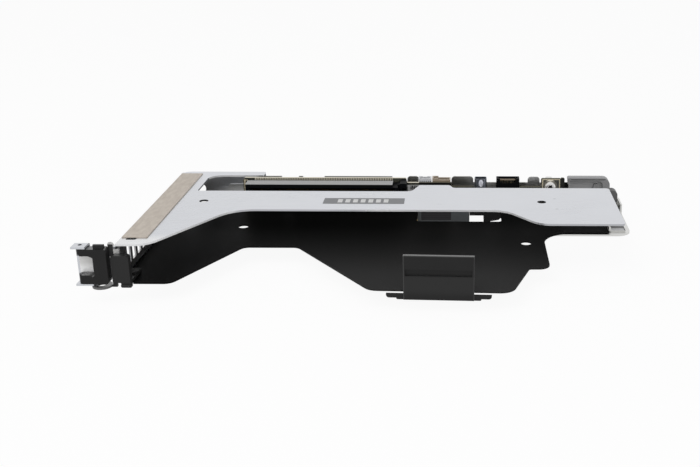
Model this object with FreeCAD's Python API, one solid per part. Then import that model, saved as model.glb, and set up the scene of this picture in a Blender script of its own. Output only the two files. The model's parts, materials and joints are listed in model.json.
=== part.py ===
import FreeCAD, Part
import math
import os

# Riser card of a one-unit server: a folded steel cage that holds an upright board with a card slot.
# X runs along the cage, Y away from the open front, Z up. The origin is the middle of the end of
# the board's edge tab, which plugs into the main board below. All sizes are in millimetres.

# Sheet metal
steel = 1.0
bend = 0.6
left_reach = 131.0
right_reach = 122.3
front_left = 116.4
front_middle = 61.2
front_right = 83.8
rear_reach = 13.2

# Heights
tab_depth = 9.2
sheet_t = 0.8
bay_height = 18.8

# Top plate
left_slant_from = 16.1
left_slant_to = 46.6
window_left = 19.0
window_front = 27.4
strip_front = 4.1
strip_length = 50.3
left_slant_corners = (12.0, 20.0)
right_slant_corners = (14.0, 12.0)
window_corner = 4.0
window_front_corner = 1.0
window_skew = 4.0
strip_corner = 8.0
plate_corner = 2.0
plate_back = 20.2
plate_step_back = 14.9
plate_step_left = 13.5
plate_step_right = 31.0
right_slant_from = 61.1
right_slant_to = 44.1
fixing_hole_d = 4.7
fixing_hole_y = 46.6
fixing_hole_left = 27.2
fixing_hole_right = 40.5
gasket_width = 12.6
gasket_t = 0.7
gasket_back = 6.0
gasket_front = 109.8
gasket_slot_length = 5.0
gasket_slot_width = 2.4
gasket_slot_x = 4.9
gasket_slot_margin = 0.2
gasket_over_fold = 0.2

# Left wall, bracket ledge and slot cover
inner_flange = 12.0
ledge_front = 114.4
ledge_length = 19.0
ear_width = 6.8
lower_ear_width = 8.5
ear_reach = 6.6
lower_ear_reach = 5.0
wall_window_front = 7.0
wall_window_back = 8.0
wall_window_margin = 3.4
wall_window_corner = 2.0
rear_fold_inset = 6.0
rear_fold_rise = 3.0
cover_t = 0.8
cover_margin = 0.7
cover_tongue = 8.0
cover_tab_length = 18.6
cover_tab_height = 15.0
cover_tongue_taper = 4.0
vent_width = 5.0
vent_height = 10.5
vent_pitch = 8.0
vent_count = 12
vent_from_tongue = 4.5
relief_hole_d = 6.0
relief_hole_x = 10.5
relief_hole_drop = 10.7

# Base bracket and end support
rear_wall_rise = 1.0
rear_wall_top = 5.2
flap_length = 23.0
flap_drop = 7.7
hook_drop = 2.3
field_drop = 5.9
hook_widths = (7.2, 13.2, 7.2)
hook_gap = 0.5
hook_overlap = 2.0
hook_step = 4.0
wall_step = 3.0
wall_corner = 2.0
rear_rivet_spread = 7.0
rear_rivet_rise = 6.0
base_flange_length = 72.0
base_flange_past = 11.0
base_flange_front = 41.6
base_corner = 8.0
base_left_corner = 6.0
end_tab_past = 12.2
end_tab_drop = 15.5
lip_height = 5.6
lip_front = 4.0
support_inset = 0.2
support_flange = 14.0
support_foot = 8.4
support_front = 33.0
support_foot_front = 37.4
support_back = 21.4

# Floor sheet of the bay
fit_gap = 0.3
sheet_front_left = 116.8
sheet_recess = 65.0
sheet_front = 124.4
sheet_front_skew = 3.0
sheet_step_front = 95.7
sheet_strip_front = 41.0
sheet_corners_x = (26.1, 51.7, 80.6, 124.0)
sheet_right_corners_x = (59.9, 49.7, 39.0)
sheet_notch_front = 22.0
sheet_notch = (12.0, 61.0)
sheet_hole_d = 5.8
sheet_holes = ((-86.3, 32.0), (73.0, 58.3))
push_rivet_head_d = 6.0
push_rivet_head_t = 0.9
push_rivet_shank_d = 3.0
push_rivet_tip = 1.2
push_rivet_back = 34.0
push_rivet_right_y = 12.0
push_rivets_right_x = (32.0, 14.0)

# Card clip on the sheet's front edge
clip_centre = 27.0
clip_width = 34.0
clip_t = 2.6
clip_low = 5.2
clip_rise = 18.7
clip_groove_height = 3.2
clip_groove_drop = 7.0
clip_groove_depth = 1.0
clip_foot_width = 51.0
clip_foot_front = 2.0
clip_foot_depth = 1.2
clip_foot_height = 2.0
clip_foot_gap = 0.4
clip_foot_corner = 1.5
clip_tongue_back = 7.0
clip_tongue_t = 2.0
clip_tongue_corner = 4.0
clip_lip_rise = 3.3
clip_lip_inset = 3.0
clip_lip_back = 3.0
clip_step_past = 3.5
clip_edge = 0.6

# Bracket latch, its pin and its keeper
pivot_x = 15.6
pivot_y = 117.4
pin_d = 1.8
pin_sink = 0.6
press_gap = 0.02
running_gap = 0.06
latch_boss_d = 3.8
latch_arm_t = 3.2
latch_lower_arm_t = 4.6
latch_body_width = 6.6
latch_past_wall = 2.6
latch_t = 5.0
latch_gap = 0.3
latch_finger = 2.2
latch_finger_width = 5.0
latch_finger_t = 1.6
latch_finger_root = 2.8
latch_finger_in = 0.6
latch_lug = 4.2
latch_lug_fall = 2.2
keeper_past_wall = 1.2
keeper_width = 8.7
keeper_height = 15.5
keeper_t = 3.6
keeper_drop = 0.8
keeper_tongue = 14.0
keeper_tongue_t = 1.4
keeper_toe = 0.6
keeper_toe_from = 4.0
keeper_toe_past = 0.7
keeper_cut_rise = 2.2
guide_web = (0.6, 1.4, 1.6)
guide_ring_t = 1.1
guide_ring_d = 9.6
guide_hole_d = 4.1
guide_x = 7.3
guide_y = 116.4

# Riser board
board_t = 1.6
board_left = 39.3
board_right = 25.3
tab_length = 85.2
tab_key = 12.6
tab_key_width = 1.9
tab_key_depth = 7.5
tab_chamfer = 1.2
board_shelf_drop = 2.8
board_shelf_past = 0.3
board_ledge_drop = 5.0
board_ledge_gaps = (0.6, 0.4)
board_field_drop = 8.5
board_ear_width = 12.0
prong_x = 51.0
prong_width = 4.2
prong_depth = 6.2
prong_web = (9.8, 4.6)
board_step = 1.8
board_corner = 1.0

# Card slot
slot_length = 89.0
slot_width = 7.5
slot_height = 11.2
slot_from_board_end = 3.4
slot_drop = 4.6
slot_stand = 0.6
slot_mouth = 1.8
slot_channel = 2.6
slot_mouth_depth = 1.6
slot_end_wall = 2.6
slot_key = 14.6
slot_key_width = 1.8
slot_end_block = 4.0
slot_end_neck = 0.8
slot_end_step = (3.2, 1.6)
slot_end_clear = 1.5
slot_end_set_back = 2.5
slot_end_lip = 1.2
slot_end_gap = 6.0
slot_neck_set_back = 4.0
slot_lead_past = 0.8
slot_foot_length = 3.0
slot_foot_height = 3.6
contact_pitch = 1.0
contact_width = 0.5
contact_t = 0.25
contact_first = 1.2
contact_set_back = 0.4

# Headers behind the board's low middle stretch: distance along that stretch, width, drop of the top
white_header_at = (5.2, 7.6, 0.8)
tan_header_at = (13.4, 10.8, 0.6)
shell_header_at = (38.6, 7.2, 0.9)
cable_header_at = (51.6, 13.6, 0.7)
header_depth = 5.6
header_height = 12.5
header_wall = 0.9
header_pin = 0.6
header_pin_rise = 7.0
header_floor = 2.5
latch_slit = (2.4, 3.4)
tan_ramp = (3.6, 1.2, 3.6, 1.6)
tan_step = (3.6, 0.8)
shell_t = 0.35
shell_floor = 2.0
shell_corners = (1.8, 1.2)
tongue_inset = 1.4
tongue_t = 1.4
tongue_drop = 2.5
cable_wall = 1.1
arch_inset = 2.0
arch_drop = 2.7
arch_corner = 1.6

# Board fixings and chips
screw_d = 3.0
screw_hole_d = 3.3
screw_head_d = 6.8
screw_head_top_d = 5.2
screw_head_h = 2.0
screw_depth = 5.0
standoff_d = 5.6
screw_low_z = 14.5
screw_left_x = 26.0
screw_middle_x = 27.0
screw_ear_drop = 5.0
screw_ear_shift = 0.6
chip_size = 7.0
chip_t = 1.2
chip_x = 45.0
chip_z = 15.0
capacitor_size = (1.0, 0.55, 0.55)
capacitor_count = 16
capacitor_pitch = 4.4
capacitor_z = 10.4

# Touch handle at the right end
handle_width = 25.3
handle_past = 4.4
handle_front = 5.0
handle_drop = 1.6
handle_low = 12.5
handle_wing = 5.0
handle_wing_drop = 7.5
handle_rim = 1.6
handle_slant = ((0.5, 4.2), (3.5, 7.7))
handle_recess = 3.0
handle_corner = 4.0
handle_screw_depth = 2.6
handle_screw_rise = 5.0
handle_screw_insets = (6.0, 7.0)
handle_cheek = 2.6
handle_wing_corner = 3.0
handle_edge = 1.0
handle_rib_x = (12.0, 9.0, 6.5, 8.0)
handle_rib_drops = (12.0, 3.6)

# Solid rivets
rivet_d = 3.0
rivet_head_d = 5.0
rivet_head_t = 1.1

# Levels and edges worked out from the sizes above
plate_left = -left_reach
plate_right = right_reach
sheet_top = tab_depth
flange_top = sheet_top - sheet_t
flange_low = flange_top - steel
plate_low = sheet_top + bay_height
plate_top = plate_low + steel
fold = bend + steel
board_front = -board_t / 2
board_back = board_t / 2
board_x0 = plate_left + board_left
board_x1 = plate_right - board_right
slot_x0 = board_x0 + slot_from_board_end
slot_x1 = slot_x0 + slot_length
slot_z = plate_top - slot_drop
contact_count = int((slot_length - 2 * slot_end_wall - 2 * contact_first) / contact_pitch) + 1
field_x0 = slot_x1 + slot_end_neck + slot_end_block + slot_end_clear
field_x1 = board_x1 - board_ear_width
white_header, tan_header, shell_header, cable_header = [
    (field_x0 + start, width, plate_top - drop)
    for start, width, drop in (white_header_at, tan_header_at, shell_header_at, cable_header_at)]
wall_front = rear_reach - 2 * steel
wall_back = rear_reach - steel
support_x = plate_right - support_inset
base_x0 = plate_right + base_flange_past - base_flange_length
base_x1 = plate_right + base_flange_past
pin_x = plate_left - pivot_x
ledge_x = plate_left - ledge_length
keeper_x0 = plate_left - keeper_past_wall
keeper_x1 = keeper_x0 + keeper_width
keeper_tongue_x0 = plate_left + steel + cover_t + fit_gap
handle_x1 = plate_right + handle_past
handle_x0 = handle_x1 - handle_width

PLANES = {
    "XY": lambda a, b, c: FreeCAD.Vector(a, b, c),
    "XZ": lambda a, b, c: FreeCAD.Vector(a, c, b),
    "YZ": lambda a, b, c: FreeCAD.Vector(c, a, b),
}


def slab(plane, start, thick, corners):
    """A flat piece. Its corners are (across, along, radius), and it runs from start over thick."""
    at = PLANES[plane]
    flat = [FreeCAD.Vector(a, b, 0) for a, b, r in corners]
    joints = []
    for i, (a, b, r) in enumerate(corners):
        here = flat[i]
        if r == 0:
            joints.append((here, None, here))
            continue
        back = (flat[i - 1] - here).normalize()
        on = (flat[(i + 1) % len(flat)] - here).normalize()
        half = back.getAngle(on) / 2
        reach = r / math.tan(half)
        middle = here + (back + on).normalize() * (r / math.sin(half) - r)
        joints.append((here + back * reach, middle, here + on * reach))

    def lift(p):
        return at(p.x, p.y, start)

    edges = []
    for i, (enter, middle, leave) in enumerate(joints):
        if middle is not None:
            edges.append(Part.Arc(lift(enter), lift(middle), lift(leave)).toShape())
        following = joints[(i + 1) % len(joints)][0]
        if (following - leave).Length > 1e-6:
            edges.append(Part.makeLine(lift(leave), lift(following)))
    return Part.Face(Part.Wire(edges)).extrude(at(0, 0, thick) - at(0, 0, 0))


def block(x0, x1, y0, y1, z0, z1):
    """A square-edged piece between two corners."""
    return Part.makeBox(x1 - x0, y1 - y0, z1 - z0, FreeCAD.Vector(x0, y0, z0))


def folded(plane, start, width, path, side):
    """A strip of the cage's steel folded along a path, with its thickness to the left (side 1) or right."""
    points = [FreeCAD.Vector(a, b, 0) for a, b in path]
    ways = [(q - p).normalize() for p, q in zip(points, points[1:])]
    lefts = [FreeCAD.Vector(-w.y, w.x, 0) * side for w in ways]
    face = []
    rear = []
    for i, p in enumerate(points):
        before = lefts[max(i - 1, 0)]
        after = lefts[min(i, len(lefts) - 1)]
        inner = p + (before + after) * (steel / (1 + before.dot(after)))
        turn = 0
        if 0 < i < len(points) - 1:
            turn = (ways[i - 1].x * ways[i].y - ways[i - 1].y * ways[i].x) * side
        face.append((p.x, p.y, 0 if turn == 0 else fold if turn > 0 else bend))
        rear.append((inner.x, inner.y, 0 if turn == 0 else bend if turn > 0 else fold))
    return slab(plane, start, width, face + rear[::-1])


def rod(d, start, length, way):
    """A round bar or a drill of diameter d, from start along way."""
    return Part.makeCylinder(d / 2, length, FreeCAD.Vector(*start), FreeCAD.Vector(*way))


def join(*pieces):
    """One solid from pieces that grow out of each other."""
    whole = pieces[0]
    for piece in pieces[1:]:
        whole = whole.fuse(piece)
    return whole.removeSplitter()


def slot_cut(plane, start, thick, centre, length, width):
    """A drill with round ends, longer along the plane's first axis."""
    a, b = centre
    half = length / 2
    r = width / 2 - 0.001
    corners = [(a - half, b - width / 2, r), (a + half, b - width / 2, r),
               (a + half, b + width / 2, r), (a - half, b + width / 2, r)]
    return slab(plane, start, thick, corners)


def save(name, *solids):
    """Writes one node, a single solid or a group of like ones."""
    shape = solids[0] if len(solids) == 1 else Part.makeCompound(list(solids))
    shape.exportStep(f"parts/{name}.step")


def top_plate():
    """The flat top with its slanted front, its window over the card slot and its fixing holes."""
    left = plate_left + fold
    rear = rear_reach - fold
    plate = slab("XY", plate_low, steel, [
        (left, -front_left, 0),
        (plate_left + left_slant_from, -front_left, left_slant_corners[0]),
        (plate_left + left_slant_to, -front_middle, left_slant_corners[1]),
        (plate_right - right_slant_from, -front_middle, right_slant_corners[0]),
        (plate_right - right_slant_to, -front_right, right_slant_corners[1]),
        (plate_right, -front_right, plate_corner),
        (plate_right, -plate_back, plate_corner),
        (plate_step_right + plate_corner, -plate_back, plate_corner),
        (plate_step_right, -plate_step_back, plate_corner),
        (plate_step_left, -plate_step_back, plate_corner),
        (plate_step_left - window_skew, -window_front, window_corner),
        (plate_left + window_left, -window_front, window_front_corner),
        (plate_left + window_left, strip_front, strip_corner),
        (plate_left + strip_length, strip_front, 0),
        (plate_left + strip_length, rear, 0),
        (left, rear, window_corner),
    ])
    for x in (plate_left + fixing_hole_left, plate_right - fixing_hole_right):
        plate = plate.cut(rod(fixing_hole_d, (x, -fixing_hole_y, plate_low - 1), steel + 2, (0, 0, 1)))
    oval = (plate_left + fold + gasket_slot_x, -gasket_front + gasket_slot_width / 2)
    return plate.cut(slot_cut("XY", plate_low - 1, steel + 2, oval, gasket_slot_length, gasket_slot_width))


def top_bracket():
    """The top plate with the walls folded down from it and the ledge that carries a card's bracket."""
    wall_ends = (-ledge_front + fold, rear_reach - fold - 2)
    left_wall = folded("XZ", wall_ends[0], wall_ends[1] - wall_ends[0], [
        (plate_left + fold + 1, plate_top), (plate_left, plate_top),
        (plate_left, flange_low), (plate_left + inner_flange, flange_low)], 1)
    edge_front = folded("XZ", -front_left, front_left - ledge_front + fold, [
        (plate_left + fold + 1, plate_top), (plate_left, plate_top), (plate_left, plate_low - fold)], 1)
    rear_wall = folded("YZ", plate_left + rear_fold_inset, strip_length - rear_fold_inset, [
        (rear_reach - fold - 1, plate_top), (rear_reach, plate_top),
        (rear_reach, flange_low + rear_fold_rise)], -1)
    ledge = folded("XY", flange_low, plate_top - flange_low, [
        (plate_left + steel, -ledge_front + fold + 1), (plate_left + steel, -ledge_front),
        (ledge_x, -ledge_front)], -1)
    around = (ledge_x - 1, plate_left + 2 * fold, -ledge_front - 1, -ledge_front + 3 * fold)
    ledge = ledge.cut(block(*around, plate_low - fold, plate_top + 1))
    ledge = ledge.cut(block(*around, flange_low - 1, flange_top + steel + fold))
    ledge_rear = -ledge_front + steel
    middle = (plate_top + flange_low) / 2
    upper_ear = folded("YZ", ledge_x, ear_width, [
        (ledge_rear, middle), (ledge_rear, plate_top), (-ledge_front - ear_reach, plate_top)], 1)
    lower_ear = folded("YZ", ledge_x, lower_ear_width, [
        (ledge_rear, middle), (ledge_rear, flange_top), (-ledge_front - lower_ear_reach, flange_top)], -1)
    body = join(top_plate(), left_wall, edge_front, rear_wall, ledge, upper_ear, lower_ear)
    window_z = (sheet_top + wall_window_margin, plate_low - wall_window_margin)
    body = body.cut(slab("YZ", plate_left - 1, steel + 2, [
        (-ledge_front + wall_window_front, window_z[0], wall_window_corner),
        (-wall_window_back, window_z[0], wall_window_corner),
        (-wall_window_back, window_z[1], wall_window_corner),
        (-ledge_front + wall_window_front, window_z[1], wall_window_corner)]))
    relief = (plate_left + relief_hole_x, rear_reach - steel - 1, plate_top - relief_hole_drop)
    body = body.cut(rod(relief_hole_d, relief, steel + 2, (0, 1, 0)))
    for x, z in rear_rivet_places():
        body = body.cut(rod(rivet_d, (x, wall_front - 1, z), 2 * steel + 2, (0, 1, 0)))
    for x, y in left_push_rivet_places() + [keeper_rivet_place()]:
        body = body.cut(rod(push_rivet_shank_d, (x, y, flange_low - 1), steel + 2, (0, 0, 1)))
    for low in (flange_top, plate_low):
        body = body.cut(rod(pin_d + 2 * press_gap, (pin_x, -pivot_y, low - 1), steel + 2, (0, 0, 1)))
    return body


def rear_rivet_places():
    """Where the base bracket's flap is riveted to the cage's rear wall, as (x, z)."""
    x = plate_left + strip_length - flap_length / 2
    z = sheet_top + rear_rivet_rise
    return [(x - rear_rivet_spread, z), (x + rear_rivet_spread, z)]


def left_push_rivet_places():
    """Where the floor sheet is pinned to the left wall's inner flange, as (x, y)."""
    return [(plate_left + inner_flange - push_rivet_head_d, -push_rivet_back)]


def right_push_rivet_places():
    """Where the floor sheet is pinned to the base bracket's flange, as (x, y)."""
    return [(plate_right - x, -push_rivet_right_y) for x in push_rivets_right_x]


def hook_places():
    """Left edges of the rear wall's three hooks, beside the headers they stand between."""
    return [field_x0 - hook_overlap, tan_header[0] + tan_header[1] + hook_gap, field_x1 - hook_widths[2]]


def base_bracket():
    """The rear wall behind the board, with hooks along its top and a flange under the bay's right end."""
    low = sheet_top + rear_wall_rise
    flap_x0 = plate_left + strip_length - flap_length
    field_z = plate_top - field_drop
    end_x = plate_right + end_tab_past
    corners = [
        (flap_x0, low, wall_corner), (flap_x0, plate_top - flap_drop, wall_corner),
        (board_x0, plate_top - flap_drop, 0), (board_x0 + hook_step, plate_top - rear_wall_top, 1),
        (hook_places()[0] - hook_step, plate_top - rear_wall_top, wall_corner),
        (hook_places()[0] - hook_step, field_z, 0),
    ]
    for x, width in zip(hook_places(), hook_widths):
        corners += [(x, field_z, 0), (x, plate_top - hook_drop, wall_corner),
                    (x + width, plate_top - hook_drop, wall_corner), (x + width, field_z, 0)]
    corners += [
        (handle_x1 - wall_step, field_z, wall_corner), (handle_x1, plate_top - end_tab_drop, wall_corner),
        (end_x, plate_top - end_tab_drop, wall_corner), (end_x, flange_low + fold, 0),
        (base_x0, flange_low + fold, 0), (base_x0, low, 0),
    ]
    wall = slab("XZ", wall_front, steel, corners)
    flange = folded("YZ", base_x0, base_flange_length, [
        (wall_back, flange_low + fold + 1), (wall_back, flange_low), (-base_flange_front, flange_low)], -1)
    rounded = slab("XY", flange_low - 1, plate_top, [
        (base_x0, wall_back, 0), (base_x0, -base_flange_front, base_left_corner),
        (base_x1, -base_flange_front, base_corner), (base_x1, wall_back, 0)])
    lip = folded("XZ", -lip_front, lip_front + wall_front - 1, [
        (base_x1 - fold - 1, flange_low), (base_x1, flange_low), (base_x1, flange_top + lip_height)], 1)
    body = join(wall, flange.common(rounded), lip)
    for x, z in rear_rivet_places():
        body = body.cut(rod(rivet_d, (x, wall_front - 1, z), 2 * steel + 2, (0, 1, 0)))
    for x, z in handle_fixings():
        body = body.cut(rod(screw_hole_d, (x, wall_front - 1, z), steel + 2, (0, 1, 0)))
    for x, y in right_push_rivet_places():
        body = body.cut(rod(push_rivet_shank_d, (x, y, flange_low - 1), steel + 2, (0, 0, 1)))
    return body


def end_support():
    """The folded upright, spot-welded between the top plate's right end and the base bracket's flange."""
    body = folded("XZ", -support_foot_front, support_foot_front - support_back, [
        (support_x - support_flange, plate_low), (support_x, plate_low),
        (support_x, flange_top + steel), (support_x + support_foot, flange_top + steel)], -1)
    return body.cut(block(support_x - support_flange - 1, support_x + 1, -support_foot_front - 1,
                          -support_front, flange_top + steel + fold, plate_top))


def solid_rivet(x, z):
    """A round-headed rivet through both rear walls, with its head behind and its end flush in front."""
    head = Part.makeCone(rivet_head_d / 2, rivet_head_d / 3, rivet_head_t,
                         FreeCAD.Vector(x, rear_reach, z), FreeCAD.Vector(0, 1, 0))
    return join(head, rod(rivet_d, (x, wall_front, z), rear_reach - wall_front, (0, 1, 0)))


def cage_rivets():
    """The rivets that hold the base bracket's flap to the top bracket."""
    return [solid_rivet(x, z) for x, z in rear_rivet_places()]


def slot_cover():
    """The vented blank in the card opening, with the tab that the latch holds against the ledge."""
    inner = plate_left + steel
    low = sheet_top + cover_margin
    high = plate_low - cover_margin
    front = -ledge_front - cover_t
    body = slab("YZ", inner, cover_t, [
        (front + 2 * fold, low, 0), (-cover_tongue, low, 0), (0, low + cover_tongue_taper, 1),
        (0, high - cover_tongue_taper, 1),
        (-cover_tongue, high, 0), (front + 2 * fold, high, 0)])
    middle = (low + high) / 2
    corner = slab("XY", middle - cover_tab_height / 2, cover_tab_height, [
        (inner, front + 2 * fold, 0), (inner, front + cover_t, 0), (inner - 1, front + cover_t, 0),
        (inner - 1, front, 0), (inner + cover_t, front, cover_t), (inner + cover_t, front + 2 * fold, 0)])
    tab = slab("XZ", front, cover_t, [
        (inner, middle - cover_tab_height / 2, 0), (inner, middle + cover_tab_height / 2, 0),
        (inner - cover_tab_length, middle + cover_tab_height / 2, 2),
        (inner - cover_tab_length, middle - cover_tab_height / 2, 2)])
    body = join(body, corner, tab)
    for i in range(vent_count):
        y = -cover_tongue - vent_from_tongue - i * vent_pitch
        body = body.cut(block(inner - 1, inner + cover_t + 1, y - vent_width / 2, y + vent_width / 2,
                              middle - vent_height / 2, middle + vent_height / 2))
    return body


def emi_gasket():
    """The flat conductive-cloth strip on the top plate along the left wall."""
    x0 = plate_left + fold - gasket_over_fold
    x1 = x0 + gasket_width
    y0 = -gasket_front + gasket_slot_width + gasket_slot_margin
    return slab("XY", plate_top, gasket_t, [
        (x0, y0, 1), (x1, y0, 1), (x1, gasket_back, 1), (x0, gasket_back, 1)])


def sheet_edge():
    """The two ends of the floor sheet's long front edge, which the card clip follows."""
    left = FreeCAD.Vector(plate_left + sheet_corners_x[3], -sheet_front, 0)
    right = FreeCAD.Vector(plate_right - sheet_right_corners_x[0], -sheet_front - sheet_front_skew, 0)
    return left, right


def bottom_sheet():
    """The stiff black sheet that floors the card bay."""
    x0 = plate_left + fold + fit_gap / 2
    x1 = support_x - steel - fit_gap
    rear = board_front - fit_gap
    left, right = sheet_edge()
    sheet = slab("XY", flange_top, sheet_t, [
        (x0, -ledge_front, 1), (keeper_x1 + fit_gap, -ledge_front, 0),
        (keeper_x1 + fit_gap, -sheet_front_left, 0.6),
        (plate_left + sheet_corners_x[0], -sheet_front_left, 6),
        (plate_left + sheet_corners_x[1], -sheet_recess, 5),
        (plate_left + sheet_corners_x[2], -sheet_recess, 5),
        (left.x, left.y, 8), (right.x, right.y, 8),
        (plate_right - sheet_right_corners_x[1], -sheet_step_front, 1.5),
        (plate_right - sheet_right_corners_x[2], -sheet_step_front, 6),
        (plate_right - sheet_right_corners_x[2], -sheet_strip_front, 16),
        (x1, -sheet_strip_front, 1), (x1, rear, 1),
        (sheet_notch[1], rear, 1), (sheet_notch[1], -sheet_notch_front, 2),
        (sheet_notch[0], -sheet_notch_front, 2), (sheet_notch[0], rear, 1), (x0, rear, 1)])
    for x, y in sheet_holes:
        sheet = sheet.cut(rod(sheet_hole_d, (x, -y, flange_top - 1), sheet_t + 2, (0, 0, 1)))
    for x, y in left_push_rivet_places() + right_push_rivet_places() + [keeper_rivet_place()]:
        sheet = sheet.cut(rod(push_rivet_shank_d, (x, y, flange_top - 1), sheet_t + 2, (0, 0, 1)))
    return sheet


def push_rivet(x, y, over):
    """A plastic push rivet through the floor sheet and the flange, with room under its head."""
    top = sheet_top + over
    low = flange_low - push_rivet_tip
    head = rod(push_rivet_head_d, (x, y, top), push_rivet_head_t, (0, 0, 1))
    return join(head, rod(push_rivet_shank_d, (x, y, low), top - low, (0, 0, 1)))


def push_rivets():
    """The push rivets of the floor sheet, one of which also holds the latch keeper."""
    rivets = [push_rivet(x, y, 0) for x, y in left_push_rivet_places() + right_push_rivet_places()]
    return rivets + [push_rivet(*keeper_rivet_place(), keeper_tongue_t)]


def card_clip():
    """The upright plastic clip on the sheet's front edge, which it holds between a tongue and a lip."""
    half = clip_width / 2
    foot = clip_foot_width / 2
    past = half + clip_step_past
    top = sheet_top + clip_rise
    back = -fit_gap
    plate = slab("YZ", -half, clip_width, [
        (back, clip_low, 0), (back, top, clip_edge), (back - clip_t, top, clip_edge),
        (back - clip_t, clip_low, clip_edge)])
    groove_top = top - clip_groove_drop
    groove = block(-half + 1, half - 1, back - clip_t - 1, back - clip_t + clip_groove_depth,
                   groove_top - clip_groove_height, groove_top)
    foot_top = flange_top - clip_foot_gap
    foot_low = foot_top - clip_foot_height
    bar = slab("XZ", -clip_foot_front, clip_foot_depth, [
        (-foot, foot_low, clip_foot_corner), (foot, foot_low, clip_foot_corner), (foot, foot_top, 0),
        (-foot, foot_top, 0)])
    step = slab("XZ", -clip_foot_front, clip_foot_depth, [
        (-past, clip_low, clip_edge), (past, clip_low, clip_edge), (past, foot_top, 0), (-past, foot_top, 0)])
    inner = half - clip_lip_inset
    tongue = slab("XY", flange_top - clip_tongue_t, clip_tongue_t, [
        (-inner, back - clip_edge, 0), (inner, back - clip_edge, 0),
        (inner, clip_tongue_back, clip_tongue_corner), (-inner, clip_tongue_back, clip_tongue_corner)])
    lip = slab("YZ", -inner, 2 * inner, [
        (back - clip_edge, sheet_top, 0), (clip_lip_back, sheet_top, 0),
        (back, sheet_top + clip_lip_rise, 0), (back - clip_edge, sheet_top + clip_lip_rise, 0)])
    clip = join(plate, bar, step, tongue, lip).cut(groove)
    left, right = sheet_edge()
    along = right - left
    clip.rotate(FreeCAD.Vector(), FreeCAD.Vector(0, 0, 1), math.degrees(math.atan2(along.y, along.x)))
    clip.translate(left + along * ((clip_centre - left.x) / along.x))
    return clip


def bracket_latch():
    """The swinging plastic latch: two arms on the pin, and a body that presses the bracket's tab home."""
    x0 = pin_x
    x1 = plate_left - latch_past_wall
    low = flange_top + steel + latch_gap
    high = plate_low - latch_gap
    rear = -ledge_front - cover_t - latch_gap
    front = rear - latch_t
    boss = latch_boss_d / 2
    finger_y = front + latch_finger_in
    body = slab("XZ", front, latch_t, [
        (x0, high, 0), (x1, high, 1.2), (x1, low, 1.2), (x0, low, 0),
        (x0, low + latch_lower_arm_t, 0), (x0 + latch_lug, low + latch_lower_arm_t, 2),
        (x1 - latch_body_width, low + latch_lower_arm_t - latch_lug_fall, 1),
        (x1 - latch_body_width, high - latch_arm_t, 1.5), (x0, high - latch_arm_t, 0)])
    arms = []
    for z, height in ((low, latch_lower_arm_t), (high - latch_arm_t, latch_arm_t)):
        arms.append(rod(latch_boss_d, (pin_x, -pivot_y, z), height, (0, 0, 1)))
    finger = slab("YZ", x1 - latch_finger_width - 1, latch_finger_width, [
        (finger_y, high - 1, 0), (finger_y, high + latch_finger, 0.6),
        (finger_y + latch_finger_t, high + latch_finger, 0.6), (finger_y + latch_finger_root, high - 1, 0)])
    latch = join(body, *arms, finger)
    trim = block(x0 - boss - 1, x0, front - 1, rear + 1, low - 1, high + 1)
    trim = trim.cut(rod(latch_boss_d, (pin_x, -pivot_y, low - 2), high - low + 4, (0, 0, 1)))
    latch = latch.cut(trim)
    return latch.cut(rod(pin_d + 2 * running_gap, (pin_x, -pivot_y, low - 1), high - low + 2, (0, 0, 1)))


def latch_pin():
    """The two short steel pins that the latch swings on, pressed into the ears of the ledge."""
    lower = steel + latch_gap + latch_lower_arm_t
    upper = latch_gap + latch_arm_t
    return [rod(pin_d, (pin_x, -pivot_y, flange_top), lower, (0, 0, 1)),
            rod(pin_d, (pin_x, -pivot_y, plate_low - upper), upper + steel - pin_sink, (0, 0, 1))]


def keeper_rivet_place():
    """Where the latch keeper's tongue is pinned to the floor sheet and the flange under it, as (x, y)."""
    cover_face = keeper_tongue_x0 - fit_gap
    return (cover_face + push_rivet_head_d / 2, -ledge_front + keeper_tongue - push_rivet_head_d)


def latch_keeper():
    """The plastic block beside the latch, with a tongue that lies on the sheet and the cage's guide ring."""
    x0 = keeper_x0
    x1 = keeper_x1
    rear = -ledge_front - cover_t - fit_gap
    front = rear - keeper_t
    low = flange_top - keeper_drop
    cut_x = x0 + keeper_toe_from
    cut_z = low + keeper_cut_rise
    body = slab("XZ", front, keeper_t, [
        (x0, cut_z, 0.6), (x0, flange_top + keeper_height, 1.5), (x1, flange_top + keeper_height, 1.5),
        (x1, low, 1), (cut_x, low, 0.6), (cut_x, cut_z, 0)])
    toe = slab("XZ", front - keeper_toe, keeper_toe + 1, [
        (cut_x, low, 0.8), (cut_x, sheet_top, 0.5),
        (x1 + keeper_toe_past, sheet_top, 0.5), (x1 + keeper_toe_past, low, 0.8)])
    tongue = slab("XY", sheet_top, keeper_tongue_t, [
        (keeper_tongue_x0, rear - 1, 0), (x1, rear - 1, 0), (x1, -ledge_front + keeper_tongue, 2),
        (keeper_tongue_x0, -ledge_front + keeper_tongue, 2)])
    ring_x = plate_left - guide_x
    ring_low = flange_top - fit_gap - guide_ring_t
    ring = rod(guide_ring_d, (ring_x, -guide_y, ring_low), guide_ring_t, (0, 0, 1))
    web_out, web_in, web_t = guide_web
    arm = block(ring_x, x0 + web_in, rear - web_t, rear, ring_low, ring_low + guide_ring_t)
    web = block(x0 - web_out, x0 + web_in, rear - web_t, rear, ring_low, cut_z + web_t)
    keeper = join(body, toe, tongue, arm, web, ring)
    keeper = keeper.cut(rod(guide_hole_d, (ring_x, -guide_y, ring_low - 1), guide_ring_t + 2, (0, 0, 1)))
    x, y = keeper_rivet_place()
    return keeper.cut(rod(push_rivet_shank_d, (x, y, sheet_top - 1), keeper_tongue_t + 2, (0, 0, 1)))


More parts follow.
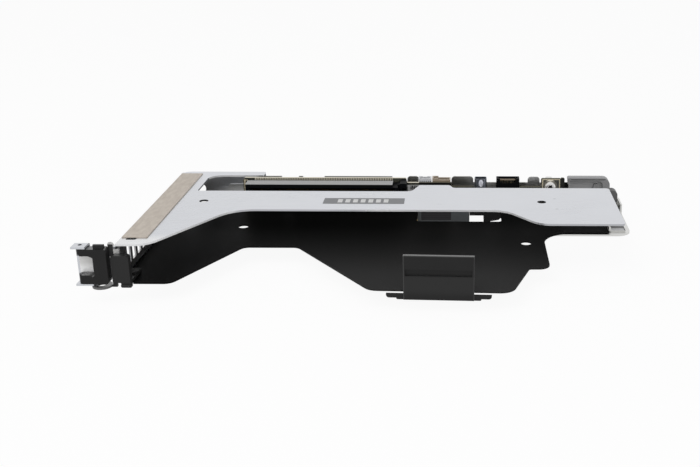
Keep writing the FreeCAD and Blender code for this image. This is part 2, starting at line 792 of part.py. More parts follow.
def board_fixings():
    """Where the board is screwed to its standoffs, as (x, z)."""
    return [(board_x0 + screw_left_x, screw_low_z), (field_x0 + screw_middle_x, screw_low_z),
            (board_x1 - board_ear_width / 2 - screw_ear_shift, plate_top - screw_ear_drop)]


def riser_board():
    """The upright board: full height at the slot, lower in steps before the headers, an edge tab below."""
    half = tab_length / 2
    shelf_z = plate_top - board_shelf_drop
    field_z = plate_top - board_field_drop
    ledge_z = plate_top - board_ledge_drop
    step_x = field_x0 - board_step
    shelf_x = tan_header[0] + tan_header[1] + board_shelf_past
    low_x0 = shell_header[0] - board_ledge_gaps[0]
    low_x1 = cable_header[0] + cable_header[1] + board_ledge_gaps[1]
    key_x = -half + tab_key
    key_round = tab_key_width / 2 - 0.01
    corners = [
        (board_x0, tab_depth, board_corner), (board_x0, plate_top, 2 * board_corner),
        (step_x, plate_top, board_corner), (step_x, shelf_z, board_corner),
        (shelf_x, shelf_z, board_corner), (shelf_x, ledge_z, board_corner),
        (low_x0, ledge_z, 0), (low_x0, field_z, 0), (low_x1, field_z, 0), (low_x1, ledge_z, 0),
        (field_x1, ledge_z, board_corner), (field_x1, plate_top, board_corner),
        (board_x1, plate_top, board_corner), (board_x1, tab_depth, board_corner),
        (prong_x + prong_web[0], tab_depth, 0),
        (prong_x + prong_web[0], tab_depth - prong_web[1], board_corner),
        (prong_x + prong_width, tab_depth - prong_depth, board_corner),
        (prong_x, tab_depth - prong_depth, board_corner),
        (prong_x, tab_depth, board_corner), (half, tab_depth, board_corner),
        (half, tab_chamfer, 0), (half - tab_chamfer, 0, 0),
        (key_x + tab_key_width, 0, 0), (key_x + tab_key_width, tab_key_depth, key_round),
        (key_x, tab_key_depth, key_round), (key_x, 0, 0),
        (-half + tab_chamfer, 0, 0), (-half, tab_chamfer, 0), (-half, tab_depth, board_corner)]
    board = slab("XZ", board_front, board_t, corners)
    for x, z in board_fixings():
        board = board.cut(rod(screw_hole_d, (x, board_front - 1, z), board_t + 2, (0, 1, 0)))
    return board


def slot_housing():
    """The black card slot: a long moulding with a keyed mouth, on short feet, and a block at its end."""
    half = slot_width / 2
    back = board_front - slot_stand
    face = board_front - slot_height
    body = slab("XY", slot_z - half, slot_width, [
        (slot_x0, back, 0), (slot_x1, back, 0), (slot_x1, face, 0.6), (slot_x0, face, 0.6)])
    lead_x0 = slot_x0 + slot_end_wall - slot_lead_past
    lead_in = slab("YZ", lead_x0, slot_length - 2 * (lead_x0 - slot_x0), [
        (face - 0.1, slot_z - slot_mouth, 0), (face + slot_mouth / 2, slot_z - slot_mouth / 2, 0),
        (face + slot_mouth / 2, slot_z + slot_mouth / 2, 0), (face - 0.1, slot_z + slot_mouth, 0)])
    mouth = block(slot_x0 + slot_end_wall, slot_x1 - slot_end_wall, face - 1, back + 1,
                  slot_z - slot_mouth / 2, slot_z + slot_mouth / 2)
    channel = block(slot_x0 + slot_end_wall, slot_x1 - slot_end_wall, face + slot_mouth_depth, back + 1,
                    slot_z - slot_channel / 2, slot_z + slot_channel / 2)
    key = block(slot_x0 + slot_key, slot_x0 + slot_key + slot_key_width, face + 0.5, back,
                slot_z - slot_channel / 2, slot_z + slot_channel / 2)
    end_x0 = slot_x1 + slot_end_neck
    neck = block(slot_x1 - 0.5, end_x0 + 0.5, face + slot_neck_set_back, back,
                 slot_z - half + 1, slot_z + half - 1)
    end_block = slab("XZ", face + slot_end_set_back, back - face - slot_end_set_back, [
        (end_x0, slot_z - half, 0.8), (end_x0, slot_z + half, 0.8),
        (end_x0 + slot_end_block, slot_z + half, 0.8), (end_x0 + slot_end_block, slot_z - half, 0.8)])
    end_gap = block(end_x0 + slot_end_lip, end_x0 + slot_end_block + 1, face + 1, face + slot_end_gap,
                    slot_z - slot_mouth / 2, slot_z + slot_mouth / 2)
    feet = [block(x, x + slot_foot_length, back - slot_stand / 2, board_front, slot_z - slot_foot_height / 2,
                  slot_z + slot_foot_height / 2)
            for x in (slot_x0, end_x0 + slot_end_block - slot_foot_length)]
    step, drop = slot_end_step
    low_end = block(slot_x1 - step, slot_x1 + 1, face - 1, back + 1, slot_z + half - drop, slot_z + half + 1)
    body = body.cut(lead_in).cut(mouth).cut(channel).cut(low_end)
    return join(body, key, neck, end_block.cut(end_gap), *feet)


def slot_contacts():
    """The spring contacts along the slot's two walls, on the board's face."""
    front = board_front - slot_height + slot_mouth_depth + contact_set_back
    inner = slot_channel / 2 - contact_t
    first = slot_x0 + slot_end_wall + contact_first
    key_x0 = slot_x0 + slot_key - contact_width
    key_x1 = slot_x0 + slot_key + slot_key_width
    places = [first + i * contact_pitch for i in range(contact_count)]
    blades = []
    for x in places:
        if key_x0 < x < key_x1:
            continue
        for z in (slot_z + inner, slot_z - inner - contact_t):
            blades.append(block(x, x + contact_width, front, board_front, z, z + contact_t))
    return blades


def board_screws():
    """Pan-head screws through the board into the standoffs."""
    screws = []
    for x, z in board_fixings():
        head = Part.makeCone(screw_head_d / 2, screw_head_top_d / 2, screw_head_h,
                             FreeCAD.Vector(x, board_front, z), FreeCAD.Vector(0, -1, 0))
        screws.append(join(head, rod(screw_d, (x, board_front, z), board_t + screw_depth, (0, 1, 0))))
    return screws


def standoffs():
    """Hexagon pillars welded to the rear wall, which carry the board."""
    pillars = []
    r = standoff_d / 2 / math.cos(math.pi / 6)
    turns = [math.pi / 3 * i for i in range(6)]
    for x, z in board_fixings():
        corners = [(x + r * math.cos(turn), z + r * math.sin(turn), 0) for turn in turns]
        pillar = slab("XZ", board_back, wall_front - board_back, corners)
        pillars.append(pillar.cut(rod(screw_d, (x, board_back - 1, z), screw_depth + 1, (0, 1, 0))))
    return pillars


def header_box(place, wall):
    """An open-topped plastic header on the board's back, with its mouth upwards."""
    x0, width, z1 = place
    z0 = z1 - header_height
    y0 = board_back
    y1 = board_back + header_depth
    body = slab("XY", z0, header_height, [
        (x0, y0, 0.3), (x0 + width, y0, 0.3), (x0 + width, y1, 0.5), (x0, y1, 0.5)])
    return body.cut(block(x0 + wall, x0 + width - wall, y0 + wall, y1 - wall, z0 + header_floor, z1 + 1))


def header_pins(place, count):
    """The square pins that stand in a header."""
    x0, width, z1 = place
    z0 = z1 - header_height + header_floor
    y = board_back + header_depth / 2 - header_pin / 2
    pitch = (width - 2 * header_wall) / count
    places = [x0 + header_wall + pitch * (i + 0.5) - header_pin / 2 for i in range(count)]
    return [block(x, x + header_pin, y, y + header_pin, z0, z0 + header_pin_rise) for x in places]


def white_header_body():
    """The white wire header, with a latch slit in its front wall."""
    x0, width, z1 = white_header
    body = header_box(white_header, header_wall)
    centre = x0 + width / 2
    wide, deep = latch_slit
    slit_y = board_back + header_depth - header_wall
    return body.cut(block(centre - wide / 2, centre + wide / 2, slit_y - bend, slit_y + header_wall + 1,
                          z1 - deep, z1 + 1))


def tan_header_body():
    """The tan power header, with a rim that is higher at one end and a keyed back wall."""
    x0, width, z1 = tan_header
    body = header_box(tan_header, header_wall)
    wide, proud, drop, rise = tan_ramp
    y = board_back + header_depth
    ramp = slab("YZ", x0 + width / 2 - wide / 2, wide, [
        (y, z1 - drop - rise, 0), (y + proud, z1 - drop, 0), (y, z1 - drop, 0)])
    raised, fall = tan_step
    low_rim = block(x0 + raised, x0 + width + 1, board_back - 1, y + 1, z1 - fall, z1 + 1)
    return join(body, ramp).cut(low_rim)


def shell_header_body():
    """The pressed metal shell of the shielded receptacle, round at its front corners."""
    x0, width, z1 = shell_header
    y0 = board_back
    y1 = board_back + header_depth
    near, far = shell_corners
    outer = slab("XY", z1 - header_height, header_height, [
        (x0, y0, near), (x0 + width, y0, near), (x0 + width, y1, far), (x0, y1, far)])
    t = shell_t
    inner = slab("XY", z1 - header_height + shell_floor, header_height, [
        (x0 + t, y0 + t, near - t), (x0 + width - t, y0 + t, near - t), (x0 + width - t, y1 - t, far - t),
        (x0 + t, y1 - t, far - t)])
    return outer.cut(inner)


def shell_header_tongue():
    """The plastic tongue inside the shielded receptacle."""
    x0, width, z1 = shell_header
    z0 = z1 - header_height + shell_floor
    y0 = board_back + header_depth / 2 - tongue_t / 2
    y1 = y0 + tongue_t
    x1 = x0 + width - tongue_inset
    return slab("XY", z0, z1 - tongue_drop - z0, [
        (x0 + tongue_inset, y0, 0.3), (x1, y0, 0.3), (x1, y1, 0.3), (x0 + tongue_inset, y1, 0.3)])


def cable_header_body():
    """The black cable receptacle, with an arched cut in the wall that faces the bay."""
    x0, width, z1 = cable_header
    body = header_box(cable_header, cable_wall)
    left = x0 + arch_inset
    right = x0 + width - arch_inset
    arch = slab("XZ", board_back - 1, cable_wall + 1 + bend, [
        (left, z1 + 1, 0), (left, z1 - arch_drop, arch_corner), (right, z1 - arch_drop, arch_corner),
        (right, z1 + 1, 0)])
    return body.cut(arch)


def controller_chip():
    """The small square chip on the board's face below the slot."""
    half = chip_size / 2
    x = field_x0 + chip_x
    return slab("XZ", board_front - chip_t, chip_t, [
        (x - half, chip_z - half, 0.3), (x + half, chip_z - half, 0.3), (x + half, chip_z + half, 0.3),
        (x - half, chip_z + half, 0.3)])


def coupling_capacitors():
    """The row of small coupling capacitors between the slot and the edge tab."""
    length, depth, height = capacitor_size
    first = -(capacitor_count - 1) / 2 * capacitor_pitch
    places = [first + i * capacitor_pitch for i in range(capacitor_count)]
    return [block(x - length / 2, x + length / 2, board_front - depth, board_front, capacitor_z,
                  capacitor_z + height) for x in places]


def handle_fixings():
    """Where the touch handle is screwed on from behind, as (x, z)."""
    left, right = handle_screw_insets
    z = handle_low + handle_screw_rise
    return [(handle_x0 + left, z), (handle_x1 - right, z)]


def touch_handle():
    """The grey moulded handle at the cage's right end, hollowed at the front, with a low wing."""
    x0 = handle_x0
    x1 = handle_x1
    z1 = plate_top - handle_drop
    wing_z = z1 - handle_wing_drop
    (in_top, drop_top), (in_low, drop_low) = handle_slant
    body = slab("XZ", handle_front, wall_front - handle_front, [
        (x0 + in_low, handle_low, handle_edge), (x0 + in_low, z1 - drop_low, handle_edge),
        (x0 + in_top, z1 - drop_top, 0), (x0, z1, handle_edge), (x1, z1, handle_corner),
        (x1, wing_z, handle_edge),
        (x1 + handle_wing, wing_z, handle_wing_corner), (x1 + handle_wing, handle_low, handle_edge)])
    cheek = x1 - handle_rim - handle_cheek
    body = body.cut(slab("XZ", handle_front - 1, handle_recess + 1, [
        (x0 - 1, handle_low - 1, 0), (x0 - 1, z1 - handle_rim, 0),
        (cheek, z1 - handle_rim, handle_corner - handle_edge), (cheek, handle_low - 1, 0)]))
    foot_left, top_left, top_right, foot_right = [x1 - x for x in handle_rib_x]
    foot, top = [z1 - drop for drop in handle_rib_drops]
    rib = slab("XZ", handle_front + 1, handle_recess - 1, [
        (foot_left, foot, 0), (top_left, top, handle_edge), (top_right, top, handle_edge),
        (foot_right, foot, 0)])
    body = join(body, rib)
    screw_y = wall_front - handle_screw_depth
    for x, z in handle_fixings():
        body = body.cut(rod(screw_d, (x, screw_y, z), handle_screw_depth + 1, (0, 1, 0)))
    return body


def handle_screws():
    """The screws that hold the handle, driven from behind through the rear wall."""
    screws = []
    for x, z in handle_fixings():
        head = Part.makeCone(screw_head_d / 2, screw_head_top_d / 2, screw_head_h,
                             FreeCAD.Vector(x, wall_back, z), FreeCAD.Vector(0, 1, 0))
        screws.append(join(head, rod(screw_d, (x, wall_back, z), steel + handle_screw_depth, (0, -1, 0))))
    return screws


os.makedirs("parts", exist_ok=True)
save("top_bracket", top_bracket())
save("base_bracket", base_bracket())
save("end_support", end_support())
save("cage_rivets", *cage_rivets())
save("slot_cover", slot_cover())
save("emi_gasket", emi_gasket())
save("bottom_sheet", bottom_sheet())
save("push_rivets", *push_rivets())
save("card_clip", card_clip())
save("bracket_latch", bracket_latch())
save("latch_pin", *latch_pin())
save("latch_keeper", latch_keeper())
save("riser_board", riser_board())
save("slot_housing", slot_housing())
save("slot_contacts", *slot_contacts())
save("board_screws", *board_screws())
save("standoffs", *standoffs())
save("white_header", white_header_body())
save("white_header_pins", *header_pins(white_header, 3))
save("tan_header", tan_header_body())
save("tan_header_pins", *header_pins(tan_header, 4))
save("shell_receptacle", shell_header_body())
save("receptacle_tongue", shell_header_tongue())
save("cable_header", cable_header_body())
save("cable_header_pins", *header_pins(cable_header, 5))
save("controller_chip", controller_chip())
save("coupling_capacitors", *coupling_capacitors())
save("touch_handle", touch_handle())
save("handle_screws", *handle_screws())
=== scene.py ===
import json
import math

import bmesh
import bpy
from mathutils import Matrix, Vector


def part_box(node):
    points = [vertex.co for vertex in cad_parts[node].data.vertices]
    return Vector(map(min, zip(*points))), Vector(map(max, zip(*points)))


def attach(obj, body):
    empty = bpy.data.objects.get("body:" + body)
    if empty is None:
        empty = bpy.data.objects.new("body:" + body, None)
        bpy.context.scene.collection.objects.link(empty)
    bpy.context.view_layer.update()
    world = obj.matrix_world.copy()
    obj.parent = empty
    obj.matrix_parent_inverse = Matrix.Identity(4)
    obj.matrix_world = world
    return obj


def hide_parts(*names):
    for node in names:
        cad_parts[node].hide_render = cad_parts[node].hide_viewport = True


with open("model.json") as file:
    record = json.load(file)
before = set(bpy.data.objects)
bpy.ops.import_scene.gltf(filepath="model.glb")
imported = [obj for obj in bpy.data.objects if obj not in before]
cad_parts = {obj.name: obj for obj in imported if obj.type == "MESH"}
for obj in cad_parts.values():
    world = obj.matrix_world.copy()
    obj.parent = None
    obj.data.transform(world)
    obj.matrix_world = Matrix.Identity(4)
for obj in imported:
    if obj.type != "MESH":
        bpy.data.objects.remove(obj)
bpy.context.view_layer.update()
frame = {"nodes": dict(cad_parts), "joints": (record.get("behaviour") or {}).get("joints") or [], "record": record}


# Top bracket of the cage.
# Zinc-plated sheet steel with a fine rolled grain, punched, folded and spot-welded, with darker weld marks.
# Painted shade darkens the inside of its holes, its front left corner, the ledge's end and parts of its
# front edge; a painted highlight lightens the other parts of its front edge and the front of its top.
class Shade:
    """A value, colour or direction in a material; arithmetic on it adds Math nodes."""

    def __init__(self, tree, socket):
        self.tree = tree
        self.socket = socket

    def node(self, kind, settings=None, inputs=None, output=0):
        """Adds a node: its settings first, then the values or links of its sockets."""
        made = self.tree.nodes.new("ShaderNode" + kind)
        for name, value in (settings or {}).items():
            setattr(made, name, value)
        for name, value in (inputs or {}).items():
            if isinstance(value, Shade):
                self.tree.links.new(value.socket, made.inputs[name])
            else:
                made.inputs[name].default_value = value
        return Shade(self.tree, made.outputs[output])

    def maths(self, operation, first, second=0.0):
        return self.node("Math", {"operation": operation}, {0: first, 1: second})

    def __add__(self, other):
        return self.maths("ADD", self, other)

    def __radd__(self, other):
        return self.maths("ADD", other, self)

    def __sub__(self, other):
        return self.maths("SUBTRACT", self, other)

    def __rsub__(self, other):
        return self.maths("SUBTRACT", other, self)

    def __mul__(self, other):
        return self.maths("MULTIPLY", self, other)

    def __rmul__(self, other):
        return self.maths("MULTIPLY", other, self)

    def __lt__(self, other):
        return self.maths("LESS_THAN", self, other)

    def __gt__(self, other):
        return self.maths("GREATER_THAN", self, other)

    def __abs__(self):
        return self.maths("ABSOLUTE", self)

    def either(self, other):
        """1 where this mask or the other one is 1."""
        return self.maths("MAXIMUM", self, other)

    def within(self, low, high):
        """1 between two values, 0 outside."""
        return (self > low) * (self < high)

    def soft(self, low, high):
        """0 below low, 1 above high, and smooth between."""
        return self.node("MapRange", {"interpolation_type": "SMOOTHSTEP"},
                         {"Value": self, "From Min": low, "From Max": high})

    def repeat(self, pitch):
        """Distance from the middle of the nearest step of a row of that pitch."""
        return abs(self.node("Math", {"operation": "WRAP"}, {0: self, 1: pitch / 2, 2: -pitch / 2}))

    def mix(self, at_zero, at_one):
        """The first colour where this is 0, the second where it is 1."""
        return self.node("Mix", {"data_type": "RGBA"}, {0: self, 6: at_zero, 7: at_one}, 2)

    def along(self, axis):
        return self.node("SeparateXYZ", None, {"Vector": self}, axis)

    def near(self, x, y, inner, outer):
        """1 within a distance of an upright line at x and y, 0 beyond the outer distance."""
        across = self.along("X") - x
        ahead = self.along("Y") - y
        return 1.0 - (across * across + ahead * ahead).soft(inner ** 2, outer ** 2)

    def stretched(self, scale):
        return self.node("Mapping", None, {"Vector": self, "Scale": scale})

    def noise(self, scale, detail=2.0):
        return self.node("TexNoise", None, {"Vector": self, "Scale": scale, "Detail": detail})

    def rolled(self, along, across):
        """Sheet grain that runs along X on a flat face and turns down Z on a folded one."""
        run = (self.along("X") + self.along("Z")) * along
        lay = self.node("CombineXYZ", None, {"X": run, "Y": self.along("Y") * across})
        return lay.noise(1.0)

    def bump(self, distance, strength):
        return self.node("Bump", None, {"Height": self, "Distance": distance, "Strength": strength})


class Finish:
    """A material on the principled shader, with the place on the piece to work from."""

    def __init__(self, name, **constants):
        self.material = bpy.data.materials.new(name)
        self.material.use_nodes = True
        self.tree = self.material.node_tree
        self.shader = self.tree.nodes["Principled BSDF"]
        for socket, value in constants.items():
            self.shader.inputs[socket.replace("_", " ")].default_value = value
        start = Shade(self.tree, None)
        self.place = start.node("TexCoord", None, None, "Object")
        self.facing = start.node("NewGeometry", None, None, "Normal")

    def axes(self, letters="XYZ"):
        """The place on the piece along each of the axes."""
        return [self.place.along(axis) for axis in letters]

    def faces_front(self, least):
        """1 on faces that look towards the open front of the bay."""
        return self.facing.along("Y") < -least

    def feed(self, socket, value):
        self.tree.links.new(value.socket, self.shader.inputs[socket])

    def paint(self, *names):
        for name in names:
            mesh = frame["nodes"][name].data
            mesh.materials.clear()
            mesh.materials.append(self.material)


def grey(level, tint=(1.0, 1.0, 1.0)):
    return tuple(level * t for t in tint) + (1.0,)


def wall_light(finish):
    """Where the rear wall beside the slot lies in shade, and where it catches light from the bay."""
    wall_right = -0.085
    wall_depth = (0.009, 0.0128)
    shade_run = (-0.121, -0.099)
    lit_run = (-0.116, -0.095)
    lit_rise = (0.0165, 0.0225)
    x, y, z = finish.axes()
    wall = (x < wall_right) * y.within(*wall_depth) * finish.faces_front(0.5)
    shade = wall * (1.0 - x.soft(*shade_run))
    lit = wall * x.soft(*lit_run) * (1.0 - z.soft(*lit_rise))
    return shade, lit


wall_dark = grey(0.4)
wall_pale = grey(0.8)
zinc = Finish("zinc_plated_steel")
x, y, z = zinc.axes()
rolled = zinc.place.rolled(60.0, 1300.0)
cloud = zinc.place.noise(22.0)
tone = (rolled * 0.4 + cloud * 0.6).soft(0.3, 0.7)
plated = tone.mix((0.567, 0.58, 0.612, 1.0), (0.635, 0.648, 0.68, 1.0))

mounts = {mount["name"]: mount for mount in frame["record"]["mounts"]}
holes_x, holes_y, plate_top = mounts["top_holes"]["pos_m"]
half_spacing = mounts["top_holes"]["dims"]["spacing_x_mm"] / 2000
hinge_x, hinge_y, _ = frame["joints"][0]["pos_m"]
oval_x, oval_y = -0.1245, -0.1086
left_reach = 0.00242
right_reach = 0.0024
oval_reach = 0.0013
pin_reach = 0.00092
hole_shade_fade = 0.00014
hole_shade_places = [(holes_x - half_spacing, holes_y, left_reach), (holes_x + half_spacing, holes_y, right_reach),
          (hinge_x, hinge_y, pin_reach)]
hole_shade_places += [(oval_x + step * oval_reach, oval_y, oval_reach) for step in (-1, 0, 1)]
weld_places = ((0.0894, -0.0406), (0.0892, -0.0589))
weld_core = 0.0003
weld_rim = 0.0012
dimples = [zinc.place.near(weld_x, weld_y, weld_core, weld_rim) for weld_x, weld_y in weld_places]
welds = sum(dimples) * (z > 0.02)

plate_low = 0.0278
under_plate = 0.0277
plate_left = -0.131
ledge_left = -0.1475
front_edge = zinc.faces_front(0.3) * (z > plate_low) * (x > plate_left)
left_run = 1.0 - x.soft(-0.086, -0.08)
middle_run = x.soft(-0.022, -0.006) * (1.0 - x.soft(0.072, 0.084))
# Painted highlight on two runs of the front edge, painted shade on the rest of it.
painted_edge_highlight = front_edge * (left_run + middle_run)
painted_edge_shade = front_edge - painted_edge_highlight
# Darker weld marks, and painted shade in the front left corner and on the ledge's end.
corner = x.within(plate_left, -0.1268) * z.within(0.0195, under_plate) * (y < -0.108)
ledge_end = (x < ledge_left) * z.within(0.0222, under_plate) * zinc.faces_front(0.5)
welds_and_painted_shade = (welds * 0.22).either(painted_edge_shade * 0.3).either(corner.either(ledge_end) * 0.75)
# Painted shade inside the holes and the oval slot, and round the latch pin.
for shade_x, shade_y, reach in hole_shade_places:
    welds_and_painted_shade = welds_and_painted_shade.either(zinc.place.near(shade_x, shade_y, reach, reach + hole_shade_fade))
# Painted highlight towards the front of the plate's top.
painted_front_light = y.soft(-0.1, -0.111) * (z > plate_top - 0.0005) * (x > plate_left - 0.001)
highlighted = painted_front_light.either(painted_edge_highlight).mix(plated, (0.73, 0.735, 0.745, 1.0))
strip_shade, strip_lit = wall_light(zinc)
walled = strip_lit.mix(strip_shade.mix(highlighted, wall_dark), wall_pale)
zinc.feed("Metallic", 1.0 - painted_edge_highlight * 0.85 - strip_lit * 0.6)
zinc.feed("Base Color", welds_and_painted_shade.mix(walled, (0.03, 0.03, 0.032, 1.0)))
zinc.feed("Roughness", 0.24 + tone * 0.1)
zinc.feed("Normal", (rolled * 0.05 - welds).bump(0.00008, 0.5))
zinc.paint("top_bracket")


# Base bracket and end support of the cage.
# Folded sheet with a duller passivated face, with tabs on the wall's top edge; the support is spot-welded on.
# Painted shade darkens the top of the support's foot, with a darker painted shadow along its right and rear
# edges, and the wall between the board's ear and the handle is painted black as shade.
def new_piece(name, shape, finish, body="cage"):
    """Puts a finished mesh into the scene as a piece that rides on a body."""
    mesh = bpy.data.meshes.new(name)
    shape.to_mesh(mesh)
    shape.free()
    piece = bpy.data.objects.new(name, mesh)
    bpy.context.scene.collection.objects.link(piece)
    mesh.materials.append(finish.material)
    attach(piece, body)
    return piece


def add_block(shape, low, high):
    """A square block between two corners."""
    size = [h - l for l, h in zip(low, high)]
    centre = [(l + h) / 2 for l, h in zip(low, high)]
    place = Matrix.Translation(centre) @ Matrix.Diagonal((*size, 1.0))
    bmesh.ops.create_cube(shape, size=1.0, matrix=place)


def round_edges(shape, edges, radius, steps):
    bmesh.ops.bevel(shape, geom=edges, offset=radius, affect="EDGES", segments=steps, profile=0.5,
                    material=-1)


passivated = Finish("passivated_steel")
x, y, z = passivated.axes()
drawn = passivated.place.stretched((60.0, 600.0, 1300.0)).noise(1.0)
film_cloud = passivated.place.noise(40.0)
dull = (drawn * 0.3 + film_cloud * 0.7).soft(0.3, 0.7)
bare = dull.mix((0.6, 0.6, 0.585, 1.0), (0.7, 0.7, 0.685, 1.0))

support_low, support_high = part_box("end_support")
foot_length = 0.0086
foot_rear = -0.0336
# Painted shade on the top of the support's foot, with a darker painted shadow along its right and rear edges.
foot = (x.within(support_high.x - foot_length, support_high.x) * y.within(support_low.y, support_high.y)
        * z.within(support_low.z + 0.0009, support_low.z + 0.0012))
painted_foot_shadow = foot * x.soft(support_high.x - 0.0008, support_high.x - 0.0005).either(y > foot_rear)
footed = painted_foot_shadow.mix(foot.mix(bare, grey(0.37, (0.99, 1.0, 1.02))), grey(0.06))
right_hook = x.within(0.0765, 0.087) * (z > 0.0185)
hooked = right_hook.mix(footed, grey(0.93))
wall_shade, wall_lit = wall_light(passivated)
walled = wall_lit.mix(wall_shade.mix(hooked, wall_dark), wall_pale)
# Painted shade: the wall between the board's ear and the handle is painted black.
painted_gap_shade = x.within(0.0962, 0.1026) * (y < 0.0118) * (z > 0.012)
passivated.feed("Metallic", 1.0 - wall_lit * 0.6)
passivated.feed("Base Color", painted_gap_shade.mix(walled, grey(0.012)))
passivated.feed("Roughness", 0.28 + dull * 0.1)
passivated.feed("Normal", drawn.bump(0.000008, 0.3))
passivated.paint("base_bracket", "end_support")

tab_runs = ((-0.0835, -0.0708), (-0.0605, -0.058), (-0.045, -0.004))
tab_front, tab_back = 0.01124, 0.01216
wall_top = 0.0238
tab_top = 0.0266
tabs = bmesh.new()
for tab_left, tab_right in tab_runs:
    add_block(tabs, (tab_left, tab_front, wall_top), (tab_right, tab_back, tab_top))
round_edges(tabs, [e for e in tabs.edges if all(v.co.z > tab_top - 0.0001 for v in e.verts)], 0.0001, 2)
new_piece("wall_tabs", tabs, passivated)


# Rivets, handle screws, standoffs, vented blank and latch pins.
# Bright nickel-plated steel, turned, headed or stamped; the blank's bent tab has a satin face and a
# curled lip, with painted light on its low part and painted shade on its upper left, and the latch
# pins are blackened.
def add_plate(shape, outline, front, rear):
    """A flat plate with an outline of (x, z) points, between two depths."""
    face = shape.faces.new([shape.verts.new((x, front, z)) for x, z in outline])
    pushed = bmesh.ops.extrude_face_region(shape, geom=[face])["geom"]
    moved = [v for v in pushed if isinstance(v, bmesh.types.BMVert)]
    bmesh.ops.translate(shape, verts=moved, vec=(0.0, rear - front, 0.0))
    bmesh.ops.recalc_face_normals(shape, faces=shape.faces[:])


steel_tint = (1.0, 0.995, 0.98)
bright = Finish("bright_steel")
x, y, z = bright.axes()
scuffs = bright.place.noise(260.0)
shiny = scuffs.mix(grey(0.62, steel_tint), grey(0.72, steel_tint))
bent_tab = (x < -0.1285) * (y < -0.113)
# Painted light on the low part of the bent tab, and painted shade on its upper left.
painted_tab_light = bent_tab * (1.0 - z.soft(0.0155, 0.0195))
tab_shade = bent_tab * (x < -0.1316) * z.within(0.0222, 0.0284)
bright.feed("Base Color", tab_shade.mix(painted_tab_light.mix(shiny, grey(0.97)), grey(0.04)))
bright.feed("Metallic", 0.95 - bent_tab * 0.6)
bright.feed("Roughness", 0.24 + scuffs * 0.12 + bent_tab * 0.2)
bright.paint("cage_rivets", "slot_cover", "standoffs", "handle_screws")

lip_outline = ((-0.1342, 0.0256), (-0.1342, 0.0286), (-0.1337, 0.0294), (-0.1326, 0.0297),
               (-0.1317, 0.0293), (-0.1311, 0.0285), (-0.1311, 0.0256))
lip_front, lip_back = -0.115, -0.1146
lip = bmesh.new()
add_plate(lip, lip_outline, lip_front, lip_back)
new_piece("blank_lip", lip, bright)

blackened = Finish("blackened_steel", Metallic=0.9, Roughness=0.35)
oxide = blackened.place.noise(1500.0)
blackened.feed("Base Color", oxide.mix(grey(0.03), grey(0.06)))
blackened.paint("latch_pin")


# Cloth strip along the left edge of the top plate.
# Conductive woven cloth over a thin foam core, glued flat to the plate.
def shade_smooth(shape):
    for face in shape.faces:
        face.smooth = True


thread_pitch = 0.0007
cloth = Finish("conductive_cloth", Roughness=0.75)
x, y = cloth.axes("XY")
weave = (x.repeat(thread_pitch) + y.repeat(thread_pitch)) * (1 / thread_pitch)
mottle = cloth.place.stretched((420.0, 150.0, 1.0)).noise(1.0, 4.0)
cloth.feed("Base Color", (weave * 0.3 + mottle * 0.7).soft(0.15, 0.85).mix(
    (0.47, 0.415, 0.36, 1.0), (0.67, 0.61, 0.54, 1.0)))
cloth.feed("Normal", weave.bump(0.00008, 0.6))

strip_low, strip_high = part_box("emi_gasket")
strip_edge = 0.00045
crown = 0.00012
ripple_depth = 0.00003
strip = bmesh.new()
add_block(strip, strip_low, strip_high)
strip.normal_update()
top_edges = [e for e in strip.edges if all(v.co.z > strip_high.z - 1e-6 for v in e.verts)]
round_edges(strip, top_edges, strip_edge, 4)
long_edges = [e for e in strip.edges if abs(e.verts[0].co.y - e.verts[1].co.y) > 0.01]
bmesh.ops.subdivide_edges(strip, edges=long_edges, cuts=60, use_grid_fill=True)
cross_edges = [e for e in strip.edges if abs(e.verts[0].co.x - e.verts[1].co.x) > 0.005]
bmesh.ops.subdivide_edges(strip, edges=cross_edges, cuts=8, use_grid_fill=True)
half_width = (strip_high.x - strip_low.x) / 2
for v in strip.verts:
    if v.co.z > strip_high.z - 1e-5:
        across = (v.co.x - strip_low.x) / half_width - 1
        ripple = math.sin(v.co.y * 310.0 + v.co.x * 90.0) + math.sin(v.co.y * 127.0 - v.co.x * 240.0)
        v.co.z -= crown * across ** 4 + ripple_depth * (1 + ripple / 2)
shade_smooth(strip)
gasket = new_piece("cloth_strip", strip, cloth)
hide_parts("emi_gasket")


# Label on the top plate.
# Mid-grey ink on a thin film, stuck flat, with a row of plain light bars.
print_pitch = 0.0006
ink_tint = (0.98, 1.0, 1.04)
ink = Finish("label_ink", Roughness=0.55)
print_grain = ink.place.along("X").repeat(print_pitch) * (1 / print_pitch)
ink.feed("Base Color", print_grain.mix(grey(0.185, ink_tint), grey(0.235, ink_tint)))
pale_ink = Finish("pale_ink", Roughness=0.5)
pale_ink.feed("Base Color", pale_ink.place.noise(1200.0).mix(grey(0.62), grey(0.72)))

label_low = Vector((-0.038, -0.05085, plate_top))
label_high = Vector((0.0064, -0.04075, plate_top + 0.00006))
label_corner = 0.0004
label_shape = bmesh.new()
add_block(label_shape, label_low, label_high)
uprights = [e for e in label_shape.edges if abs(e.verts[0].co.z - e.verts[1].co.z) > 0.00003]
round_edges(label_shape, uprights, label_corner, 3)
new_piece("plate_label", label_shape, ink)

bar_count = 7
bar_start = label_low.x + 0.0078
bar_pitch = 0.0042
bar_width = 0.0026
bar_front, bar_back = -0.0487, -0.0429
bar_top = label_high.z + 0.00003
bars = bmesh.new()
for step in range(bar_count):
    left = bar_start + step * bar_pitch
    add_block(bars, (left, bar_front, label_high.z), (left + bar_width, bar_back, bar_top))
new_piece("label_bars", bars, pale_ink)


